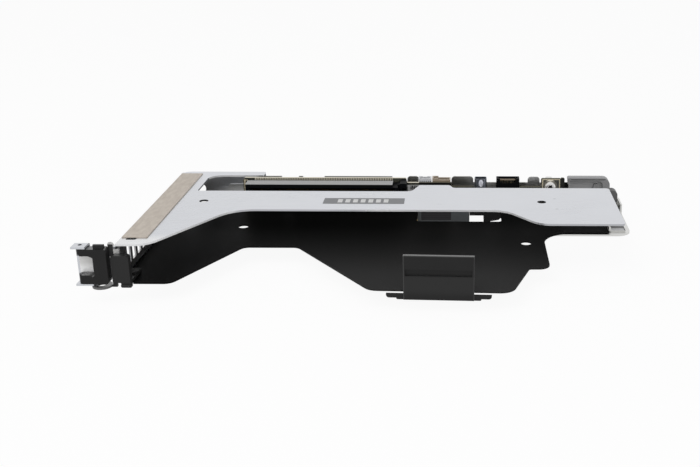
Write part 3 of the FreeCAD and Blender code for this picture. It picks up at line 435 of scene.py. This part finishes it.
# Riser board.
# Glass-fibre laminate under a dark solder mask, routed to shape; its cut edges are pale, and painted dark
# as shade under the headers. Painted shade blackens the tab's prong and the face under the headers, and the
# face right of the ear's legend line is darker. Cream legend lines follow its left end and the outline of its
# right ear.
layer = 0.0004
laminate = Finish("board_laminate", Specular_IOR_Level=0.12, Coat_Roughness=0.25)
x, y, z = laminate.axes()
flat_face = abs(laminate.facing.along("Y")).soft(0.6, 0.7)
traces = laminate.place.stretched((700.0, 1.0, 160.0)).noise(1.0, 1.0).soft(0.47, 0.53)
pour = laminate.place.noise(160.0, 1.0).soft(0.45, 0.5)
copper = (traces * 0.6 + pour * 0.4).mix((0.028, 0.03, 0.024, 1.0), (0.062, 0.062, 0.046, 1.0))
# Painted shade blackens the tab's prong and the face under the headers; the face right of the ear's line is
# darker.
prong = x.within(0.0427, 0.064) * (z < 0.0095)
under_headers = x.within(0.0125, 0.0325) * (z > 0.02)
ear_side = (x > 0.0966) * 0.8
ear_and_painted_shade = ear_side.either(prong).either(under_headers)
mask_colour = ear_and_painted_shade.mix(copper, grey(0.004))
layers = y.repeat(layer) * (2 / layer)
pale_cut = layers.mix((0.84, 0.78, 0.63, 1.0), (0.97, 0.93, 0.81, 1.0))
painted_shade_cut = layers.mix((0.07, 0.066, 0.048, 1.0), (0.16, 0.15, 0.11, 1.0))
# Painted shade darkens the cut edge under the headers.
shaded_cut_run = (x > 0.0125) * (z > 0.012)
laminate.feed("Base Color", flat_face.mix(shaded_cut_run.mix(pale_cut, painted_shade_cut), mask_colour))
laminate.feed("Roughness", 0.7 - flat_face * 0.38)
laminate.feed("Coat Weight", flat_face * (1.0 - ear_and_painted_shade) * 0.7)
laminate.paint("riser_board")

legend = Finish("cream_legend", Roughness=0.5)
legend_grain = legend.place.noise(900.0)
legend.feed("Base Color", legend_grain.mix((0.5, 0.44, 0.31, 1.0), (0.68, 0.61, 0.46, 1.0)))
board_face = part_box("riser_board")[0].y
legend_face = board_face - 0.00004
legend_lines = (((-0.0912, 0.0105), (-0.0903, 0.0278)), ((-0.0903, 0.0272), (-0.0888, 0.0278)),
                ((0.0856, 0.0195), (0.0863, 0.0288)), ((0.0863, 0.0282), (0.0957, 0.0288)),
                ((0.0957, 0.0105), (0.0962, 0.0288)))
lines = bmesh.new()
for (left, low), (right, high) in legend_lines:
    add_block(lines, (left, legend_face, low), (right, board_face, high))
new_piece("board_legend", lines, legend)

toe_outline = ((0.0427, 0.0091), (0.0427, 0.0058), (0.0511, 0.0058), (0.0511, 0.0013), (0.0547, 0.0013),
               (0.0553, 0.0022), (0.0602, 0.0031), (0.0618, 0.0046), (0.0618, 0.0091))
ear_outline = ((0.0968, 0.011), (0.0989, 0.011), (0.0989, 0.0288), (0.0984, 0.0293), (0.0968, 0.0293))
toe_face = board_face + 0.00002
toe = bmesh.new()
for outline in (toe_outline, ear_outline):
    add_plate(toe, outline, toe_face, -toe_face)
new_piece("board_toe_and_ear", toe, laminate)


# Printed field beside the slot's end.
# White legend ink on the board's face, under a row of resistors.
field_low = (0.0058, legend_face, 0.0206)
field_high = (0.0152, board_face, 0.0248)
field = bmesh.new()
add_block(field, field_low, field_high)
new_piece("printed_field", field, pale_ink)


# Edge guard on the tab's right half.
# Thin dark grey film over the contact fingers, with a brown window panel.
guard = Finish("guard_film", Roughness=0.45)
guard_grain = guard.place.noise(700.0)
guard.feed("Base Color", guard_grain.mix((0.042, 0.048, 0.05, 1.0), (0.06, 0.067, 0.07, 1.0)))
panel = Finish("brown_panel", Roughness=0.4, Specular_IOR_Level=0.25)
panel_lines = panel.place.along("Z").repeat(0.0013).soft(0.0001, 0.0003)
panel.feed("Base Color", panel_lines.mix((0.022, 0.02, 0.023, 1.0), (0.011, 0.01, 0.011, 1.0)))

guard_face = board_face - 0.0002
guard_low = (0.0119, guard_face, 0.0014)
guard_high = (0.0423, board_face, 0.0088)
guard_corner = 0.0008
panel_low = (0.0137, board_face - 0.00028, 0.003)
panel_high = (0.0316, guard_face, 0.0084)
guard_shape = bmesh.new()
add_block(guard_shape, guard_low, guard_high)
guard_sides = [e for e in guard_shape.edges if abs(e.verts[0].co.y - e.verts[1].co.y) > 0.0001]
round_edges(guard_shape, guard_sides, guard_corner, 4)
new_piece("tab_guard", guard_shape, guard)
panel_shape = bmesh.new()
add_block(panel_shape, panel_low, panel_high)
new_piece("guard_panel", panel_shape, panel)


# Card slot, its end block, the cable receptacle, the receptacle's tongue, the chip and resistors.
# Glass-filled black polymer, injection moulded; the top of the slot is polished, the rest is satin.
# The resistors are black blocks soldered flat on the printed field.
polymer = Finish("slot_polymer", Base_Color=grey(0.006, (0.95, 1.0, 1.15)), Specular_IOR_Level=0.02,
                 Coat_IOR=2.75, Coat_Roughness=0.07)
flow = polymer.place.stretched((80.0, 700.0, 700.0)).noise(1.0)
polymer.feed("Roughness", 0.3 + flow * 0.16)
polished = polymer.facing.along("Z").soft(0.4, 0.9) * (polymer.place.along("X") < -0.0025)
polymer.feed("Coat Weight", polished)
polymer.paint("slot_housing", "receptacle_tongue", "cable_header", "controller_chip")

resistor_count = 6
resistor_start = 0.0076
resistor_pitch = 0.001
resistor_width = 0.00052
resistor_low, resistor_high = 0.0222, 0.0246
resistor_face = board_face - 0.00045
resistors = bmesh.new()
for step in range(resistor_count):
    left = resistor_start + step * resistor_pitch
    add_block(resistors, (left, resistor_face, resistor_low),
              (left + resistor_width, legend_face, resistor_high))
round_edges(resistors, resistors.edges[:], 0.00006, 1)
new_piece("field_resistors", resistors, polymer)


# Spring contacts of the slot with their solder tails, the pins of the headers and the tab's fingers.
# Copper alloy with gold plating; the tails are tinned and bent down on to the board's face.
gold = Finish("gold_plate", Metallic=1.0, Roughness=0.25)
wear = gold.place.noise(900.0)
gold.feed("Base Color", wear.mix((0.72, 0.5, 0.2, 1.0), (0.86, 0.66, 0.32, 1.0)))
gold.paint("slot_contacts", "white_header_pins", "tan_header_pins", "cable_header_pins")

tinned = Finish("tinned_pad", Metallic=0.8)
tin_grain = tinned.place.noise(1500.0)
tin_colour = tin_grain.mix((0.14, 0.13, 0.11, 1.0), (0.22, 0.21, 0.18, 1.0))
top_row = tinned.place.along("Z") > 0.0275
tinned.feed("Base Color", top_row.mix(tin_colour, (0.85, 0.8, 0.68, 1.0)))
tinned.feed("Roughness", 0.3 + tin_grain * 0.2)

contact_pitch = 0.001
tail_count = 82
tail_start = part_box("slot_contacts")[0].x
tail_width = 0.0004
tail_front, tail_bend = -0.0016, -0.0011
tail_rows = ((0.02815, 0.0007), (0.02065, -0.0007))
tails = bmesh.new()
for step in range(tail_count):
    left = tail_start + step * contact_pitch
    right = left + tail_width
    for root, reach in tail_rows:
        heel_low, heel_high = sorted((root, root + reach * 0.4))
        toe_low, toe_high = sorted((root, root + reach))
        add_block(tails, (left, tail_front, heel_low), (right, tail_bend, heel_high))
        add_block(tails, (left, tail_bend, toe_low), (right, board_face, toe_high))
new_piece("solder_tails", tails, tinned)

finger_count = 83
finger_start = -0.04135
finger_width = 0.0007
finger_low, finger_high = 0.0012, 0.0056
plating = 0.00003
key_gap = (-0.0312, -0.0279)
guarded_from = 0.011
fingers = bmesh.new()
for step in range(finger_count):
    left = finger_start + step * contact_pitch
    right = left + finger_width
    if key_gap[0] < left < key_gap[1]:
        continue
    if left <= guarded_from:
        add_block(fingers, (left, board_face - plating, finger_low), (right, board_face, finger_high))
    add_block(fingers, (left, -board_face, finger_low), (right, plating - board_face, finger_high))
new_piece("edge_fingers", fingers, gold)


# Wire headers: white and tan.
# Unfilled nylon, moulded, with painted shade low down, in stripes between the pins on the white one;
# a springy tongue stands in the white one's latch slit.
pin_pitch = 0.00125
white_nylon = Finish("white_nylon", Roughness=0.42)
x, z = white_nylon.axes("XZ")
white_base = white_nylon.place.noise(500.0).mix((0.6, 0.61, 0.63, 1.0), (0.7, 0.71, 0.73, 1.0))
# Painted shade in stripes between the pins, low down on the white header.
white_shade = x.repeat(pin_pitch).soft(0.0001, 0.0004) * (z < 0.0269)
white_nylon.feed("Base Color", white_shade.mix(white_base, (0.2, 0.2, 0.215, 1.0)))
white_nylon.paint("white_header")
header_low, header_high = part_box("white_header")
header_middle = (header_low.x + header_high.x) / 2
tongue_half = 0.0011
tongue = bmesh.new()
add_block(tongue, (header_middle - tongue_half, header_high.y - 0.0007, header_high.z - 0.0034),
          (header_middle + tongue_half, header_high.y - 0.0001, header_high.z - 0.0002))
round_edges(tongue, tongue.edges[:], 0.0001, 2)
new_piece("header_tongue", tongue, white_nylon)

tan_nylon = Finish("tan_nylon", Roughness=0.42)
tan_base = tan_nylon.place.noise(500.0).mix((0.34, 0.28, 0.21, 1.0), (0.43, 0.36, 0.28, 1.0))
# Painted shade low down on the tan header.
tan_shade = 1.0 - tan_nylon.place.along("Z").soft(0.0262, 0.0274)
tan_nylon.feed("Base Color", tan_shade.mix(tan_base, (0.19, 0.15, 0.105, 1.0)))
tan_nylon.paint("tan_header")


# Shielded receptacle.
# Pressed nickel-plated shell, its face painted dark as a painted reflection, with a contact dimple pressed out of
# its front that carries a painted highlight.
shell_tint = (0.93, 1.0, 1.16)
nickel = Finish("nickel_shell", Metallic=1.0)
y, z = nickel.axes("YZ")
# Painted reflection: the shell is painted dark, and the pressed dimple carries a painted highlight.
painted_dark_shell = nickel.place.noise(400.0).mix(grey(0.3, shell_tint), grey(0.38, shell_tint))
painted_dimple_highlight = (y < 0.00079) * (z > 0.02)
nickel.feed("Base Color", painted_dimple_highlight.mix(painted_dark_shell, grey(0.84, (0.96, 0.97, 1.05))))
nickel.feed("Roughness", 0.3 + painted_dimple_highlight * 0.35)
nickel.paint("shell_receptacle")

dimple_place = Matrix.Translation((0.0494, 0.0008, 0.0254))
dimple_size = Matrix.Diagonal((0.0014, 0.00035, 0.0023, 1.0))
dimple = bmesh.new()
bmesh.ops.create_uvsphere(dimple, u_segments=24, v_segments=12, radius=1.0)
bmesh.ops.transform(dimple, verts=dimple.verts[:], matrix=dimple_place @ dimple_size)
shade_smooth(dimple)
new_piece("shell_dimple", dimple, nickel)


# Contact carrier in the cable receptacle.
# Tan moulded strip against the back wall, with a row of tinned blades that hang below it.
receptacle_low, receptacle_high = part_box("cable_header")
carrier_back = receptacle_high.y - 0.0011
carrier_top = receptacle_high.z - 0.0012
carrier_low = receptacle_high.z - 0.0021
carrier_inset = 0.0022
carrier = bmesh.new()
add_block(carrier, (receptacle_low.x + carrier_inset, carrier_back - 0.0007, carrier_low),
          (receptacle_high.x - carrier_inset, carrier_back, carrier_top))
round_edges(carrier, carrier.edges[:], 0.00015, 2)
new_piece("contact_carrier", carrier, tan_nylon)

blade_count = 9
blade_start = receptacle_low.x + 0.0028
blade_pitch = 0.0009
blade_width = 0.00032
blade_tip = receptacle_high.z - 0.006
blades = bmesh.new()
for step in range(blade_count):
    left = blade_start + step * blade_pitch
    add_block(blades, (left, carrier_back - 0.0005, blade_tip),
              (left + blade_width, carrier_back - 0.0002, carrier_low))
new_piece("carrier_blades", blades, tinned)


# Board screws.
# Headed steel with a six-lobe recess, painted black inside as shade, through a tinned ring on the board's face.
def turned(shape, profile, steps):
    """A shape turned round the upright axis from (radius, height) points."""
    points = [shape.verts.new((r, 0.0, h)) for r, h in profile]
    sides = [shape.edges.new(pair) for pair in zip(points, points[1:])]
    bmesh.ops.spin(shape, geom=points + sides, cent=(0, 0, 0), axis=(0, 0, 1), dvec=(0, 0, 0),
                   angle=2 * math.pi, steps=steps, use_merge=True)
    bmesh.ops.remove_doubles(shape, verts=shape.verts[:], dist=1e-7)
    bmesh.ops.recalc_face_normals(shape, faces=shape.faces[:])


def set_in_board(shape, places):
    """Lays a turned shape on the board's face at each place, with its axis out of the board."""
    whole = shape.verts[:] + shape.edges[:] + shape.faces[:]
    for place_x, place_z in places:
        copy = bmesh.ops.duplicate(shape, geom=whole)["geom"]
        lay = Matrix.Translation((place_x, board_face, place_z)) @ Matrix.Rotation(math.radians(90), 4, "X")
        bmesh.ops.transform(shape, matrix=lay, verts=[v for v in copy if isinstance(v, bmesh.types.BMVert)])
    bmesh.ops.delete(shape, geom=whole, context="VERTS")


screw_places = ((-0.0657, 0.0145), (0.034, 0.0145), (0.0904, 0.024))
turn_steps = 36
shank_r = 0.0015
head_r = 0.0034
head_top = 0.002
recess_r = 0.0014
recess_floor = 0.0008
lobe_depth = 0.16
screw_profile = ((0.0, -0.0066), (0.0012, -0.0066), (shank_r, -0.0062), (shank_r, 0.0), (head_r, 0.0),
                 (head_r, 0.0006), (0.0031, 0.0013), (0.0025, 0.0018), (0.0018, head_top),
                 (recess_r, head_top), (recess_r, recess_floor), (0.0, recess_floor))
screws = bmesh.new()
turned(screws, screw_profile, turn_steps)
for v in screws.verts:
    radius = math.hypot(v.co.x, v.co.y)
    if abs(radius - recess_r) < 1e-5 and v.co.z > 0.0005:
        lobe = 1 + lobe_depth * math.cos(6 * math.atan2(v.co.y, v.co.x))
        v.co.x *= lobe
        v.co.y *= lobe
        v.co.z -= 0.00002
set_in_board(screws, screw_places)

head_tint = (1.0, 0.99, 0.97)
headed = Finish("headed_steel", Metallic=0.95)
x, y, z = headed.axes()
head_scuffs = headed.place.noise(700.0, 3.0)
head_colour = head_scuffs.mix(grey(0.66, head_tint), grey(0.78, head_tint))
# Painted shade: the recess in each head is painted black.
in_recess = y > board_face - head_top + 0.0001
for screw_x, screw_z in screw_places:
    across = x - screw_x
    rise = z - screw_z
    inside = 1.0 - (across * across + rise * rise).soft(0.00125 ** 2, 0.00135 ** 2)
    head_colour = (inside * in_recess).mix(head_colour, grey(0.01))
headed.feed("Base Color", head_colour)
headed.feed("Roughness", 0.2 + head_scuffs * 0.16)
board_screws = new_piece("pan_head_screws", screws, headed)
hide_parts("board_screws")

ring_in, ring_out, ring_t = 0.0033, 0.0043, 0.00005
ring_profile = ((ring_in, 0.0), (ring_out, 0.0), (ring_out, ring_t), (ring_in, ring_t), (ring_in, 0.0))
rings = bmesh.new()
turned(rings, ring_profile, turn_steps)
set_in_board(rings, screw_places)
new_piece("screw_pads", rings, tinned)


# Coupling capacitors.
# Small ceramic blocks, tan in the middle, soldered on in a row.
ceramic = Finish("capacitor_ceramic", Roughness=0.4)
ceramic_grain = ceramic.place.noise(2500.0)
ceramic.feed("Base Color", ceramic_grain.mix((0.36, 0.25, 0.14, 1.0), (0.48, 0.36, 0.22, 1.0)))
ceramic.paint("coupling_capacitors")


# Floor sheet of the bay.
# Stiff black polycarbonate film, die-cut, with a fine matt face that carries a painted sheen,
# lighter towards its front.
film = Finish("black_film", Specular_IOR_Level=0.025)
x, y = film.axes("XY")
film_grain = film.place.noise(2600.0)
film_sheen = film.place.noise(14.0)
deep_black = film_sheen.soft(0.3, 0.7).mix(grey(0.0035), grey(0.0055))
# Painted sheen, lighter towards the front of the sheet.
painted_front_light = y.soft(-0.045, -0.112) * x.soft(-0.11, -0.04)
film.feed("Base Color", painted_front_light.mix(deep_black, grey(0.025)))
film.feed("Roughness", 0.4 + film_sheen * 0.14)
film.feed("Normal", film_grain.bump(0.00001, 0.25))
film.paint("bottom_sheet")


# Card clip, push rivets, bracket latch and its keeper.
# Black glass-filled nylon, moulded with a fine spark-eroded grain; top edges are polished, the clip
# carries painted light low down and painted glints along its side edges, and the guide ring's rim
# carries a painted grey highlight.
ring_x, ring_y, _ = mounts["guide_ring"]["pos_m"]
clip_left_edge = (0.0098, 0.0103)
clip_right_edge = (0.0436, 0.0441)
nylon = Finish("black_nylon", Specular_IOR_Level=0.2, Coat_Roughness=0.16)
x, y, z = nylon.axes()
nylon_grain = nylon.place.noise(3500.0)
moulded = nylon.place.noise(90.0).mix(grey(0.0095), grey(0.0145))
# Painted light on the lower part of the clip's front.
painted_low_light = x.within(0.0, 0.054) * (1.0 - z.soft(0.0165, 0.0185)) * z.soft(0.006, 0.011)
# Painted grey highlight on the guide ring's rim.
painted_ring_highlight = (z < 0.0083) * (x < -0.1335) * (1.0 - nylon.place.near(ring_x, ring_y, 0.0036, 0.004))
keeper_face = x.within(-0.1331, -0.1225) * (y < -0.112)
toned = keeper_face.mix(painted_low_light.mix(moulded, grey(0.021)), grey(0.019))
# Painted glints along the clip's side edges.
painted_edge_glints = (x.within(*clip_left_edge) + x.within(*clip_right_edge)) * (y < -0.1265)
nylon.feed("Base Color", painted_ring_highlight.mix(painted_edge_glints.mix(toned, grey(0.05)), grey(0.13)))
nylon.feed("Roughness", 0.42 + nylon_grain * 0.2)
nylon.feed("Coat Weight", nylon.facing.along("Z").soft(0.3, 0.9) * (y < -0.1125))
nylon.feed("Normal", nylon_grain.bump(0.00002, 0.4))
nylon.paint("push_rivets", "card_clip", "bracket_latch", "latch_keeper")

brow_outline = ((-0.1466, 0.0259), (-0.1466, 0.0244), (-0.1452, 0.024), (-0.1436, 0.0245),
                (-0.1418, 0.0239), (-0.1406, 0.0233), (-0.1392, 0.0233), (-0.1392, 0.0259))
brow_front, brow_back = -0.1203, -0.1193
brow = bmesh.new()
add_plate(brow, brow_outline, brow_front, brow_back)
new_piece("latch_brow", brow, nylon, "latch")


# Touch handle.
# Grey moulded polymer with a fine grain, screwed on from behind; its sunk panel carries painted light,
# a painted shadow line runs between it and the rim, and the thin wing at its right end is painted dark as shade.
touch_tint = (1.0, 1.0, 1.02)
wing_left = 0.1262
touch = Finish("touch_grey", Roughness=0.5)
x, y, z = touch.axes()
touch_grain = touch.place.noise(3000.0)
outer = touch_grain.mix(grey(0.2, touch_tint), grey(0.24, touch_tint))
# Painted light on the sunk panel, a painted shadow line under the rim, and painted shade on the wing.
painted_panel_light = y.within(0.0072, 0.0105) * (x < wing_left)
painted_rim_shadow = x.within(0.1035, 0.124) * z.within(0.0264, 0.0269)
wing = x.soft(wing_left, wing_left + 0.0006)
lined = painted_rim_shadow.mix(painted_panel_light.mix(outer, grey(0.37, touch_tint)), grey(0.05))
touch.feed("Base Color", wing.mix(lined, grey(0.1, touch_tint)))
touch.feed("Normal", touch_grain.bump(0.00002, 0.4))
touch.paint("touch_handle")


# Floor, light and camera.
# A plain white floor under soft studio light, seen at the photograph's angle.
floor_shape = bmesh.new()
bmesh.ops.create_grid(floor_shape, x_segments=1, y_segments=1, size=4.0,
                      matrix=Matrix.Translation((0.0, 0.0, -0.0008)))
floor_mesh = bpy.data.meshes.new("floor")
floor_shape.to_mesh(floor_mesh)
floor_shape.free()
floor = bpy.data.objects.new("floor", floor_mesh)
bpy.context.scene.collection.objects.link(floor)


def seen_directly(start):
    """1 for what the camera, a gloss or a clear piece sees, 0 for the light it gives."""
    camera_ray, gloss_ray, clear_ray = [
        start.node("LightPath", None, None, name)
        for name in ("Is Camera Ray", "Is Glossy Ray", "Is Transmission Ray")]
    return camera_ray.either(gloss_ray).either(clear_ray)


floor_paint = bpy.data.materials.new("white_floor")
floor_paint.use_nodes = True
floor_tree = floor_paint.node_tree
floor_tree.nodes.remove(floor_tree.nodes["Principled BSDF"])
start = Shade(floor_tree, None)
matt = start.node("BsdfDiffuse", None, {"Color": grey(0.92)})
glow = start.node("Emission", None, {"Color": grey(1.0), "Strength": 1.0})
mixed = start.node("MixShader", None, {0: seen_directly(start) * 0.93, 1: matt, 2: glow})
floor_tree.links.new(mixed.socket, floor_tree.nodes["Material Output"].inputs["Surface"])
floor_mesh.materials.append(floor_paint)

world = bpy.data.worlds.new("studio")
bpy.context.scene.world = world
world.use_nodes = True
sky = world.node_tree
background = sky.nodes["Background"]
background.inputs["Color"].default_value = grey(1.0)
bright_sky = seen_directly(Shade(sky, None))
sky.links.new((0.5 + bright_sky * 0.5).socket, background.inputs["Strength"])


def soft_lamp(name, at, towards, size, power):
    """A square studio lamp that faces a point and leaves no bright square on the plate."""
    light = bpy.data.lights.new(name, "AREA")
    light.shape = "SQUARE"
    light.size = size
    light.energy = power
    lamp = bpy.data.objects.new(name, light)
    lamp.location = at
    lamp.visible_glossy = False
    lamp.rotation_euler = (Vector(towards) - Vector(at)).to_track_quat("-Z", "Y").to_euler()
    bpy.context.scene.collection.objects.link(lamp)


middle = (-0.01, -0.05, 0.015)
soft_lamp("key_lamp", (-0.45, -0.55, 0.95), middle, 0.9, 4.6)
soft_lamp("fill_lamp", (0.25, -1.0, 0.35), middle, 0.7, 2.0)

photo_width = 700
camera_tilt = math.radians(19.4)
camera_roll = math.radians(0.2)
camera_data = bpy.data.cameras.new("camera")
camera_data.sensor_width = 36.0
camera_data.lens = 51.63
camera_data.shift_x = -110 / photo_width
camera_data.shift_y = -0.5 / photo_width
camera_data.clip_start = 0.01
camera = bpy.data.objects.new("camera", camera_data)
camera.location = (0.037, -0.5725, 0.196)
camera.rotation_euler = (Matrix.Rotation(math.radians(90) - camera_tilt, 3, "X")
                         @ Matrix.Rotation(camera_roll, 3, "Z")).to_euler()
bpy.context.scene.collection.objects.link(camera)
bpy.context.scene.camera = camera
bpy.context.scene.view_settings.view_transform = "Standard"
